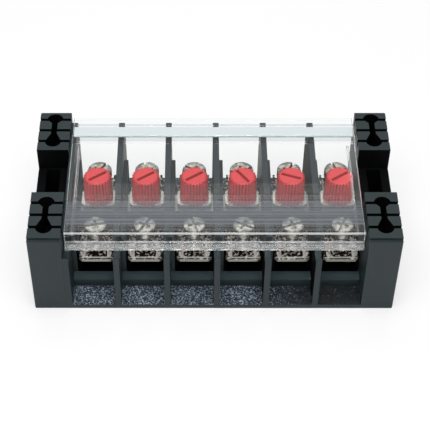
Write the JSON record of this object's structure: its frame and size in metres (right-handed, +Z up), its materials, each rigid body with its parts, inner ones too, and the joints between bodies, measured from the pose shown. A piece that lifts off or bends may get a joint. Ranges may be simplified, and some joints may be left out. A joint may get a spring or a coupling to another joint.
{
  "type": "shorting terminal block",
  "caption": "Barrier terminal block of dark moulded poles between slotted end towers, with red shorting knobs and screw clamps under a clear lift-off cover.",
  "frame": {"origin": "middle of the underside, the face that rests on the panel", "axes": "+X along the row of poles to the right as seen from the front, +Y from the front, where the cover has its lip, to the back, +Z up from the panel"},
  "size_m": [0.122, 0.0612, 0.0343],
  "materials": {
    "black_plastic": "satin moulded",
    "clear_plastic": "clear moulded plastic",
    "strip_plastic": "matt card-like strip",
    "red_plastic": "satin moulded",
    "plated_steel": "bright nickel plating",
    "plated_brass": "nickel plating"
  },
  "bodies": {
    "block": {"left_end_block": "black_plastic", "right_end_block": "black_plastic", "pole_housing_1": "black_plastic", "pole_housing_2": "black_plastic", "pole_housing_3": "black_plastic", "pole_housing_4": "black_plastic", "pole_housing_5": "black_plastic", "pole_housing_6": "black_plastic", "conductor_bars": "plated_brass", "common_bar": "plated_brass", "front_saddles": "plated_steel", "rear_saddles": "plated_steel", "tie_rods": "plated_steel"},
    "cover": {"clear_cover": "clear_plastic", "marking_strip": "strip_plastic"},
    "contact_1": {"contact_plate_1": "plated_brass"},
    "knob_1": {"shorting_knob_1": "red_plastic", "shorting_screw_1": "plated_steel"},
    "contact_2": {"contact_plate_2": "plated_brass"},
    "knob_2": {"shorting_knob_2": "red_plastic", "shorting_screw_2": "plated_steel"},
    "contact_3": {"contact_plate_3": "plated_brass"},
    "knob_3": {"shorting_knob_3": "red_plastic", "shorting_screw_3": "plated_steel"},
    "contact_4": {"contact_plate_4": "plated_brass"},
    "knob_4": {"shorting_knob_4": "red_plastic", "shorting_screw_4": "plated_steel"},
    "contact_5": {"contact_plate_5": "plated_brass"},
    "knob_5": {"shorting_knob_5": "red_plastic", "shorting_screw_5": "plated_steel"},
    "contact_6": {"contact_plate_6": "plated_brass"},
    "knob_6": {"shorting_knob_6": "red_plastic", "shorting_screw_6": "plated_steel"},
    "front_washer_1": {"front_spring_washer_1": "plated_steel"},
    "front_screw_1": {"front_clamp_screw_1": "plated_steel"},
    "front_washer_2": {"front_spring_washer_2": "plated_steel"},
    "front_screw_2": {"front_clamp_screw_2": "plated_steel"},
    "front_washer_3": {"front_spring_washer_3": "plated_steel"},
    "front_screw_3": {"front_clamp_screw_3": "plated_steel"},
    "front_washer_4": {"front_spring_washer_4": "plated_steel"},
    "front_screw_4": {"front_clamp_screw_4": "plated_steel"},
    "front_washer_5": {"front_spring_washer_5": "plated_steel"},
    "front_screw_5": {"front_clamp_screw_5": "plated_steel"},
    "front_washer_6": {"front_spring_washer_6": "plated_steel"},
    "front_screw_6": {"front_clamp_screw_6": "plated_steel"},
    "rear_washer_1": {"rear_spring_washer_1": "plated_steel"},
    "rear_screw_1": {"rear_clamp_screw_1": "plated_steel"},
    "rear_washer_2": {"rear_spring_washer_2": "plated_steel"},
    "rear_screw_2": {"rear_clamp_screw_2": "plated_steel"},
    "rear_washer_3": {"rear_spring_washer_3": "plated_steel"},
    "rear_screw_3": {"rear_clamp_screw_3": "plated_steel"},
    "rear_washer_4": {"rear_spring_washer_4": "plated_steel"},
    "rear_screw_4": {"rear_clamp_screw_4": "plated_steel"},
    "rear_washer_5": {"rear_spring_washer_5": "plated_steel"},
    "rear_screw_5": {"rear_clamp_screw_5": "plated_steel"},
    "rear_washer_6": {"rear_spring_washer_6": "plated_steel"},
    "rear_screw_6": {"rear_clamp_screw_6": "plated_steel"}
  },
  "joints": [
    {"name": "cover_lift", "type": "slide", "parent": "block", "child": "cover", "axis": [0, 0, 1], "range_m": [0, 0.03]},
    {"name": "contact_1_travel", "type": "slide", "parent": "block", "child": "contact_1", "axis": [0, 0, -1], "range_m": [0, 0.00148]},
    {"name": "knob_1_turn", "type": "hinge", "parent": "contact_1", "child": "knob_1", "pos_m": [-0.04005, 0.0046, 0.0181], "axis": [0, 0, -1], "range_deg": [0, 762]},
    {"name": "contact_2_travel", "type": "slide", "parent": "block", "child": "contact_2", "axis": [0, 0, -1], "range_m": [0, 0.00148]},
    {"name": "knob_2_turn", "type": "hinge", "parent": "contact_2", "child": "knob_2", "pos_m": [-0.02335, 0.0046, 0.0181], "axis": [0, 0, -1], "range_deg": [0, 762]},
    {"name": "contact_3_travel", "type": "slide", "parent": "block", "child": "contact_3", "axis": [0, 0, -1], "range_m": [0, 0.00148]},
    {"name": "knob_3_turn", "type": "hinge", "parent": "contact_3", "child": "knob_3", "pos_m": [-0.00665, 0.0046, 0.0181], "axis": [0, 0, -1], "range_deg": [0, 762]},
    {"name": "contact_4_travel", "type": "slide", "parent": "block", "child": "contact_4", "axis": [0, 0, -1], "range_m": [0, 0.00148]},
    {"name": "knob_4_turn", "type": "hinge", "parent": "contact_4", "child": "knob_4", "pos_m": [0.01005, 0.0046, 0.0181], "axis": [0, 0, -1], "range_deg": [0, 762]},
    {"name": "contact_5_travel", "type": "slide", "parent": "block", "child": "contact_5", "axis": [0, 0, -1], "range_m": [0, 0.00148]},
    {"name": "knob_5_turn", "type": "hinge", "parent": "contact_5", "child": "knob_5", "pos_m": [0.02675, 0.0046, 0.0181], "axis": [0, 0, -1], "range_deg": [0, 762]},
    {"name": "contact_6_travel", "type": "slide", "parent": "block", "child": "contact_6", "axis": [0, 0, -1], "range_m": [0, 0.00148]},
    {"name": "knob_6_turn", "type": "hinge", "parent": "contact_6", "child": "knob_6", "pos_m": [0.04345, 0.0046, 0.0181], "axis": [0, 0, -1], "range_deg": [0, 762]},
    {"name": "front_clamp_1_travel", "type": "slide", "parent": "block", "child": "front_washer_1", "axis": [0, 0, -1], "range_m": [0, 0.00668]},
    {"name": "front_screw_1_turn", "type": "hinge", "parent": "front_washer_1", "child": "front_screw_1", "pos_m": [-0.04005, -0.0134, 0.0205], "axis": [0, 0, -1], "range_deg": [0, 4008]},
    {"name": "front_clamp_2_travel", "type": "slide", "parent": "block", "child": "front_washer_2", "axis": [0, 0, -1], "range_m": [0, 0.00668]},
    {"name": "front_screw_2_turn", "type": "hinge", "parent": "front_washer_2", "child": "front_screw_2", "pos_m": [-0.02335, -0.0134, 0.0205], "axis": [0, 0, -1], "range_deg": [0, 4008]},
    {"name": "front_clamp_3_travel", "type": "slide", "parent": "block", "child": "front_washer_3", "axis": [0, 0, -1], "range_m": [0, 0.00668]},
    {"name": "front_screw_3_turn", "type": "hinge", "parent": "front_washer_3", "child": "front_screw_3", "pos_m": [-0.00665, -0.0134, 0.0205], "axis": [0, 0, -1], "range_deg": [0, 4008]},
    {"name": "front_clamp_4_travel", "type": "slide", "parent": "block", "child": "front_washer_4", "axis": [0, 0, -1], "range_m": [0, 0.00668]},
    {"name": "front_screw_4_turn", "type": "hinge", "parent": "front_washer_4", "child": "front_screw_4", "pos_m": [0.01005, -0.0134, 0.0205], "axis": [0, 0, -1], "range_deg": [0, 4008]},
    {"name": "front_clamp_5_travel", "type": "slide", "parent": "block", "child": "front_washer_5", "axis": [0, 0, -1], "range_m": [0, 0.00668]},
    {"name": "front_screw_5_turn", "type": "hinge", "parent": "front_washer_5", "child": "front_screw_5", "pos_m": [0.02675, -0.0134, 0.0205], "axis": [0, 0, -1], "range_deg": [0, 4008]},
    {"name": "front_clamp_6_travel", "type": "slide", "parent": "block", "child": "front_washer_6", "axis": [0, 0, -1], "range_m": [0, 0.00668]},
    {"name": "front_screw_6_turn", "type": "hinge", "parent": "front_washer_6", "child": "front_screw_6", "pos_m": [0.04345, -0.0134, 0.0205], "axis": [0, 0, -1], "range_deg": [0, 4008]},
    {"name": "rear_clamp_1_travel", "type": "slide", "parent": "block", "child": "rear_washer_1", "axis": [0, 0, -1], "range_m": [0, 0.00528]},
    {"name": "rear_screw_1_turn", "type": "hinge", "parent": "rear_washer_1", "child": "rear_screw_1", "pos_m": [-0.04005, 0.0142, 0.0191], "axis": [0, 0, -1], "range_deg": [0, 3168]},
    {"name": "rear_clamp_2_travel", "type": "slide", "parent": "block", "child": "rear_washer_2", "axis": [0, 0, -1], "range_m": [0, 0.00528]},
    {"name": "rear_screw_2_turn", "type": "hinge", "parent": "rear_washer_2", "child": "rear_screw_2", "pos_m": [-0.02335, 0.0142, 0.0191], "axis": [0, 0, -1], "range_deg": [0, 3168]},
    {"name": "rear_clamp_3_travel", "type": "slide", "parent": "block", "child": "rear_washer_3", "axis": [0, 0, -1], "range_m": [0, 0.00528]},
    {"name": "rear_screw_3_turn", "type": "hinge", "parent": "rear_washer_3", "child": "rear_screw_3", "pos_m": [-0.00665, 0.0142, 0.0191], "axis": [0, 0, -1], "range_deg": [0, 3168]},
    {"name": "rear_clamp_4_travel", "type": "slide", "parent": "block", "child": "rear_washer_4", "axis": [0, 0, -1], "range_m": [0, 0.00528]},
    {"name": "rear_screw_4_turn", "type": "hinge", "parent": "rear_washer_4", "child": "rear_screw_4", "pos_m": [0.01005, 0.0142, 0.0191], "axis": [0, 0, -1], "range_deg": [0, 3168]},
    {"name": "rear_clamp_5_travel", "type": "slide", "parent": "block", "child": "rear_washer_5", "axis": [0, 0, -1], "range_m": [0, 0.00528]},
    {"name": "rear_screw_5_turn", "type": "hinge", "parent": "rear_washer_5", "child": "rear_screw_5", "pos_m": [0.02675, 0.0142, 0.0191], "axis": [0, 0, -1], "range_deg": [0, 3168]},
    {"name": "rear_clamp_6_travel", "type": "slide", "parent": "block", "child": "rear_washer_6", "axis": [0, 0, -1], "range_m": [0, 0.00528]},
    {"name": "rear_screw_6_turn", "type": "hinge", "parent": "rear_washer_6", "child": "rear_screw_6", "pos_m": [0.04345, 0.0142, 0.0191], "axis": [0, 0, -1], "range_deg": [0, 3168]}
  ],
  "couplings": [
    {"joint": "knob_1_turn", "follows": "contact_1_travel", "rad_per_m": 8976},
    {"joint": "knob_2_turn", "follows": "contact_2_travel", "rad_per_m": 8976},
    {"joint": "knob_3_turn", "follows": "contact_3_travel", "rad_per_m": 8976},
    {"joint": "knob_4_turn", "follows": "contact_4_travel", "rad_per_m": 8976},
    {"joint": "knob_5_turn", "follows": "contact_5_travel", "rad_per_m": 8976},
    {"joint": "knob_6_turn", "follows": "contact_6_travel", "rad_per_m": 8976},
    {"joint": "front_screw_1_turn", "follows": "front_clamp_1_travel", "rad_per_m": 10472},
    {"joint": "front_screw_2_turn", "follows": "front_clamp_2_travel", "rad_per_m": 10472},
    {"joint": "front_screw_3_turn", "follows": "front_clamp_3_travel", "rad_per_m": 10472},
    {"joint": "front_screw_4_turn", "follows": "front_clamp_4_travel", "rad_per_m": 10472},
    {"joint": "front_screw_5_turn", "follows": "front_clamp_5_travel", "rad_per_m": 10472},
    {"joint": "front_screw_6_turn", "follows": "front_clamp_6_travel", "rad_per_m": 10472},
    {"joint": "rear_screw_1_turn", "follows": "rear_clamp_1_travel", "rad_per_m": 10472},
    {"joint": "rear_screw_2_turn", "follows": "rear_clamp_2_travel", "rad_per_m": 10472},
    {"joint": "rear_screw_3_turn", "follows": "rear_clamp_3_travel", "rad_per_m": 10472},
    {"joint": "rear_screw_4_turn", "follows": "rear_clamp_4_travel", "rad_per_m": 10472},
    {"joint": "rear_screw_5_turn", "follows": "rear_clamp_5_travel", "rad_per_m": 10472},
    {"joint": "rear_screw_6_turn", "follows": "rear_clamp_6_travel", "rad_per_m": 10472}
  ]
}
